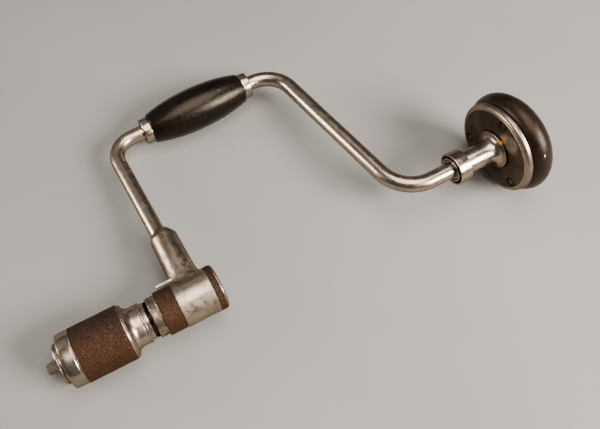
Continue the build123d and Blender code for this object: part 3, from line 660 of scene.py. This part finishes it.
def add_chuck_sleeve():
    """Shell of the chuck in nickel, with a knurled brown grip let into it."""
    band = BAND_RADIUS
    collar = SLEEVE_COLLAR_RADIUS
    under = band - 0.5
    ledge_x = SLEEVE_FRONT_X + 1.6
    flare_front = (KNURL_REAR_X + 2.1, band - 1.3)
    flare_rear = (KNURL_REAR_X + 6.2, collar)
    flare = []
    for share in (0.0, 0.12, 0.25, 0.4, 0.55, 0.7, 0.85, 1.0):
        turn = share * math.pi / 2
        x = flare_front[0] + (flare_rear[0] - flare_front[0]) * (1 - math.cos(turn))
        flare.append((x, flare_rear[1] + (flare_front[1] - flare_rear[1]) * (1 - math.sin(turn))))
    outline = [
        (SLEEVE_FRONT_X, SLEEVE_MOUTH_RADIUS),
        (SLEEVE_FRONT_X, band - 0.95),
        (SLEEVE_FRONT_X + 0.4, band - 0.4),
        (SLEEVE_FRONT_X + 1.4, band - 0.1),
        (SLEEVE_FRONT_X + 3.0, band),
        (KNURL_FRONT_X - 1.4, band),
        (KNURL_FRONT_X - 0.85, band - 0.26),
        (KNURL_FRONT_X - 0.6, band - 0.3),
        (KNURL_FRONT_X - 0.5, GRIP_RADIUS - 0.1),
        (KNURL_FRONT_X, GRIP_RADIUS - 0.05),
        (KNURL_FRONT_X + 0.1, under),
        (KNURL_REAR_X - 0.2, under),
        (KNURL_REAR_X, band - 0.1),
        (KNURL_REAR_X + 0.35, band - 0.12),
        (KNURL_REAR_X + 0.95, band - 0.40),
        (KNURL_REAR_X + 1.05, band - 0.8),
        (KNURL_REAR_X + 1.25, band - 0.8),
        (KNURL_REAR_X + 1.4, band - 0.45),
        *flare,
        (SLEEVE_REAR_X - 1.7, collar),
        (SLEEVE_REAR_X - 1.6, collar - 0.25),
        (SLEEVE_REAR_X - 1.3, collar - 0.25),
        (SLEEVE_REAR_X - 1.2, collar + 0.25),
        (SLEEVE_REAR_X - 0.2, collar + 0.25),
        (SLEEVE_REAR_X, collar),
        (SLEEVE_REAR_X, SLEEVE_THREAD_RADIUS),
        (SLEEVE_THREAD_X[1], SLEEVE_THREAD_RADIUS),
        (SLEEVE_THREAD_X[0], SLEEVE_BORE_RADIUS),
        (SLEEVE_STEP_X, SLEEVE_BORE_RADIUS),
        (SLEEVE_STEP_X, SLEEVE_STEP_RADIUS),
        (ledge_x, SLEEVE_STEP_RADIUS),
        (ledge_x, SLEEVE_MOUTH_RADIUS),
    ]
    finish_piece("sleeve_shell", lathe(eased(outline, 0.12), 160), "sleeve", SLEEVE_LOOK,
                 ["chuck_sleeve"])
    knurled_band("sleeve_grip", KNURL_FRONT_X, KNURL_REAR_X, GRIP_RADIUS, under - 0.1, 0.9, 0.34,
                 "sleeve", ["chuck_sleeve"])


def add_selector_grip():
    knurled_band("selector_grip", SELECTOR_FRONT_X, SELECTOR_REAR_X, SELECTOR_RADIUS, SELECTOR_BORE,
                 0.85, 0.30, "selector", ["selector_ring"])


def add_rear_cap():
    """Knurled band, bright turned rim and a slightly domed end."""
    band_rear = CAP_REAR_X - 1.3
    plug_front = CAP_REAR_X - 1.9
    axis_gap = 0.02
    knurled_band("cap_grip", CAP_FRONT_X, band_rear, BARREL_RADIUS, BARREL_RADIUS - 1.6, 0.85, 0.30,
                 "crank", ["rear_cap"])
    outline = [
        (CAP_FRONT_X + 0.1, CAP_BORE),
        (CAP_FRONT_X + 0.1, BARREL_RADIUS - 1.5),
        (band_rear, BARREL_RADIUS - 1.5),
        (band_rear + 0.05, BARREL_RADIUS - 0.25),
        (band_rear + 0.25, BARREL_RADIUS - 0.2),
        (band_rear + 0.75, BARREL_RADIUS - 0.43),
        (band_rear + 0.9, BARREL_RADIUS - 0.75),
        (CAP_REAR_X, BARREL_RADIUS - 1.5),
        (CAP_REAR_X + 0.25, BARREL_RADIUS - 7.1),
        (CAP_REAR_X + 0.45, axis_gap),
        (plug_front, axis_gap),
        (plug_front, CAP_BORE),
    ]
    finish_piece("cap_end", lathe(eased(outline, 0.15), 128), "crank", CAP_LOOK, ["rear_cap"])


def barrel_point(angle, radius, sink):
    """The barrel's surface, sunk a little, under a point of a circle round the socket's axis."""
    x = SOCKET_X + radius * math.cos(angle)
    x = min(max(x, BARREL_SPAN_X[0]), BARREL_SPAN_X[1])
    z = radius * math.sin(angle)
    return Vector((x, math.sqrt((BARREL_RADIUS - sink) ** 2 - z * z), z))


def skirt_point(angle, share):
    """A point of the casting fillet, from share 0 on the barrel to share 1 on the socket."""
    toward_rear = 0.5 + 0.5 * math.cos(angle)
    across = abs(math.sin(angle))
    spread = 1.5 * toward_rear + 0.7 * (1 - toward_rear) + 2.5 * across ** 2
    rise = 3.0 + 6.0 * toward_rear ** 2 + 4.0 * across ** 2
    foot = barrel_point(angle, SOCKET_BASE_RADIUS + spread, 0.05)
    corner = barrel_point(angle, SOCKET_BASE_RADIUS, 0.0)
    upper = SOCKET_BASE_RADIUS - SOCKET_SLOPE * rise - 0.04
    top = Vector((SOCKET_X + upper * math.cos(angle), corner.y + rise, upper * math.sin(angle)))
    return quadratic(foot, corner, top, share)


def add_socket_skirt():
    """The smooth casting fillet that runs the socket out into the barrel."""
    steps = 96
    rows = 12
    maker = bmesh.new()
    rings = []
    for row in range(rows + 1):
        angles = [math.tau * step / steps for step in range(steps)]
        rings.append([maker.verts.new(skirt_point(angle, row / rows)) for angle in angles])
    for low, high in zip(rings, rings[1:]):
        for step in range(steps):
            after = (step + 1) % steps
            maker.faces.new((low[step], low[after], high[after], high[step]))
    finish_piece("socket_skirt", maker, "crank", CAST_LOOK)


def add_bearing_sleeve():
    """Stepped sleeve on the rod, seen in the collar's mouth as thin bright rings."""
    outline = [
        (BEARING_FRONT_X + 0.5, ROD_BORE),
        (BEARING_FRONT_X + 0.5, BEARING_RADIUS - 1.8),
        (BEARING_FRONT_X + 1.6, BEARING_RADIUS - 1.7),
        (BEARING_FRONT_X + 1.6, BEARING_RADIUS - 1.2),
        (BEARING_FRONT_X + 0.3, BEARING_RADIUS - 1.1),
        (BEARING_FRONT_X, BEARING_RADIUS - 0.8),
        (BEARING_FRONT_X, BEARING_RADIUS - 0.2),
        (BEARING_FRONT_X + 0.3, BEARING_RADIUS),
        (BEARING_REAR_X, BEARING_RADIUS),
        (BEARING_REAR_X, ROD_BORE),
    ]
    finish_piece("bearing_sleeve", lathe(eased(outline, 0.1), 96), "crank", RING_LOOK,
                 ["head_bearing_sleeve"])


def add_nose_ring():
    """Coned ring round the jaws: a bright bead in front of a dark groove, then the hidden flange."""
    flange_front, flange_rear = NOSE_FLANGE_X
    outline = [
        (NOSE_FRONT_X, NOSE_CONE_RADII[0]),
        (NOSE_FRONT_X, NOSE_RADIUS - 0.9),
        (NOSE_FRONT_X + 0.35, NOSE_RADIUS - 0.25),
        (NOSE_FRONT_X + 0.9, NOSE_RADIUS),
        (NOSE_FRONT_X + 1.2, NOSE_RADIUS),
        (NOSE_FRONT_X + 1.8, NOSE_RADIUS - 0.28),
        (NOSE_FRONT_X + 1.9, NOSE_RADIUS - GROOVE_DEPTH),
        (NOSE_FRONT_X + 3.0, NOSE_RADIUS - GROOVE_DEPTH),
        (NOSE_FRONT_X + 3.2, NOSE_RADIUS - 0.1),
        (flange_front, NOSE_RADIUS),
        (flange_front, NOSE_FLANGE_RADIUS),
        (flange_rear, NOSE_FLANGE_RADIUS),
        (flange_rear, NOSE_TAIL_RADIUS),
        (NOSE_REAR_X, NOSE_TAIL_RADIUS),
        (NOSE_REAR_X, NOSE_CONE_RADII[1]),
    ]
    finish_piece("nose_cone", lathe(eased(outline, 0.15), 128), "nose", SLEEVE_LOOK,
                 ["nose_ring"])


def add_plain_ring():
    """The smooth ring in front of the selector: stepped front, thin lip at its seam."""
    front = PLAIN_RING_FRONT_X - PLAIN_RING_STEP
    outline = [
        (front, PLAIN_RING_BORE),
        (front, PLAIN_RING_STEP_RADIUS - 0.4),
        (front + 0.4, PLAIN_RING_STEP_RADIUS),
        (PLAIN_RING_FRONT_X, PLAIN_RING_STEP_RADIUS),
        (PLAIN_RING_FRONT_X, PLAIN_RING_RADIUS - 0.5),
        (PLAIN_RING_FRONT_X + 0.5, PLAIN_RING_RADIUS),
        (SELECTOR_FRONT_X - 0.8, PLAIN_RING_RADIUS),
        (SELECTOR_FRONT_X - 0.7, PLAIN_RING_RADIUS + 0.25),
        (SELECTOR_FRONT_X - 0.1, PLAIN_RING_RADIUS + 0.25),
        (SELECTOR_FRONT_X, PLAIN_RING_RADIUS - 0.2),
        (SELECTOR_FRONT_X, PLAIN_RING_BORE),
    ]
    finish_piece("plain_ring", lathe(eased(outline, 0.12), 128), "selector", MARKED_LOOK,
                 ["selector_plate"])


def add_dust_collar():
    """The wider collar on the quill, with a deep mouth toward the crank."""
    floor = COLLAR_REAR_X - 2.6
    outline = [
        (COLLAR_MOUTH_X, 9.2),
        (COLLAR_MOUTH_X, COLLAR_RADIUS - 0.15),
        (COLLAR_MOUTH_X + 0.4, COLLAR_RADIUS),
        (COLLAR_REAR_X - 0.5, COLLAR_RADIUS - 0.25),
        (COLLAR_REAR_X - 0.1, COLLAR_RADIUS - 0.7),
        (COLLAR_REAR_X - 0.1, QUILL_RADIUS + 0.1),
        (COLLAR_REAR_X, QUILL_RADIUS - 0.3),
        (floor, QUILL_RADIUS - 0.3),
        (floor, 9.0),
    ]
    finish_piece("dust_collar", lathe(eased(outline, 0.12), 128), "head", RING_LOOK,
                 ["head_collar"])


def add_head_neck():
    """The quill: a plain neck that flares into a flange on the plate."""
    rows = 12
    corners = (
        (PLATE_FRONT_X - 11, QUILL_RADIUS),
        (PLATE_FRONT_X - 5.4, QUILL_RADIUS + 0.1),
        (PLATE_FRONT_X - 1.9, QUILL_RADIUS + 0.8),
        (PLATE_FRONT_X - 1.7, FLANGE_RADIUS - 1),
    )
    flare = []
    for row in range(rows + 1):
        share = row / rows
        keep = 1 - share
        weights = (keep ** 3, 3 * keep * keep * share, 3 * keep * share * share, share ** 3)
        flare.append(tuple(sum(w * c[axis] for w, c in zip(weights, corners)) for axis in (0, 1)))
    outline = [
        (COLLAR_REAR_X, QUILL_BORE),
        (COLLAR_REAR_X, QUILL_RADIUS),
        *flare,
        (PLATE_FRONT_X - 1.3, FLANGE_RADIUS),
        (PLATE_FRONT_X, FLANGE_RADIUS),
        (PLATE_FRONT_X, QUILL_BORE),
    ]
    finish_piece("head_neck", lathe(eased(outline, 0.15), 128), "head", QUILL_LOOK,
                 ["head_quill"])


def add_handle_rings():
    """The two nickel rings that hold the handle on the rod, each with eased edges."""
    starts = {"handle_ring_left": HANDLE_LEFT_X - HANDLE_RING_WIDTH, "handle_ring_right": HANDLE_RIGHT_X}
    for node, start in starts.items():
        end = start + HANDLE_RING_WIDTH
        outline = [
            (start, HANDLE_RING_BORE),
            (start, HANDLE_RING_RADIUS - 0.5),
            (start + 0.5, HANDLE_RING_RADIUS),
            (end - 0.5, HANDLE_RING_RADIUS),
            (end, HANDLE_RING_RADIUS - 0.5),
            (end, HANDLE_RING_BORE),
        ]
        maker = lathe(eased(outline, 0.2), 112, centre_y=HANDLE_Y)
        finish_piece(node + "_turned", maker, "handle", RING_LOOK, [node])


# ------------------------------------------------------------------ stage

def add_floor():
    bpy.ops.mesh.primitive_plane_add(size=6)
    floor = bpy.context.object
    floor.name = "floor"
    n = Nodes("floor_look")
    tone = n.ramp(n.noise(140, 3), 0.2, 0.8)
    n.output(Base_Color=n.mix(tone, (0.172, 0.164, 0.157), (0.192, 0.184, 0.175)), Roughness=0.85)
    floor.data.materials.append(n.material)


def add_world():
    world = bpy.data.worlds.new("studio")
    SCENE.world = world
    world.use_nodes = True
    background = world.node_tree.nodes["Background"]
    background.inputs["Color"].default_value = (0.92, 0.94, 1.0, 1)
    background.inputs["Strength"].default_value = 0.12


def add_camera():
    """Above the brace and in front of it, with the frame shifted to the side."""
    camera = bpy.data.cameras.new("camera")
    camera.lens = CAMERA_LENS
    camera.sensor_width = 36
    camera.shift_x, camera.shift_y = CAMERA_SHIFT
    camera.clip_start = 0.01
    eye = bpy.data.objects.new("camera", camera)
    SCENE.collection.objects.link(eye)
    right = Vector(CAMERA_RIGHT).normalized()
    back = right.cross(Vector(CAMERA_UP)).normalized()
    turn = Matrix((right, back.cross(right), back)).transposed()
    eye.matrix_world = Matrix.LocRotScale(
        BRACE @ Vector(CAMERA_PLACE), BRACE.to_quaternion() @ turn.to_quaternion(), None)
    SCENE.camera = eye


def add_light(name, place, size, power, colour):
    """A soft box turned toward the brace's middle."""
    light = bpy.data.lights.new(name, "AREA")
    light.shape = "RECTANGLE"
    light.size, light.size_y = size
    light.energy = power
    light.color = colour
    lamp = bpy.data.objects.new(name, light)
    SCENE.collection.objects.link(lamp)
    start = BRACE @ Vector(place)
    end = BRACE @ Vector(MIDDLE)
    lamp.location = start
    lamp.rotation_euler = (end - start).to_track_quat("-Z", "Y").to_euler()


dress_cad_nodes()
add_chuck_sleeve()
add_selector_grip()
add_rear_cap()
add_socket_skirt()
add_bearing_sleeve()
add_nose_ring()
add_plain_ring()
add_dust_collar()
add_head_neck()
add_handle_rings()
add_floor()
add_world()
add_camera()
for light in LIGHTS:
    add_light(*light)
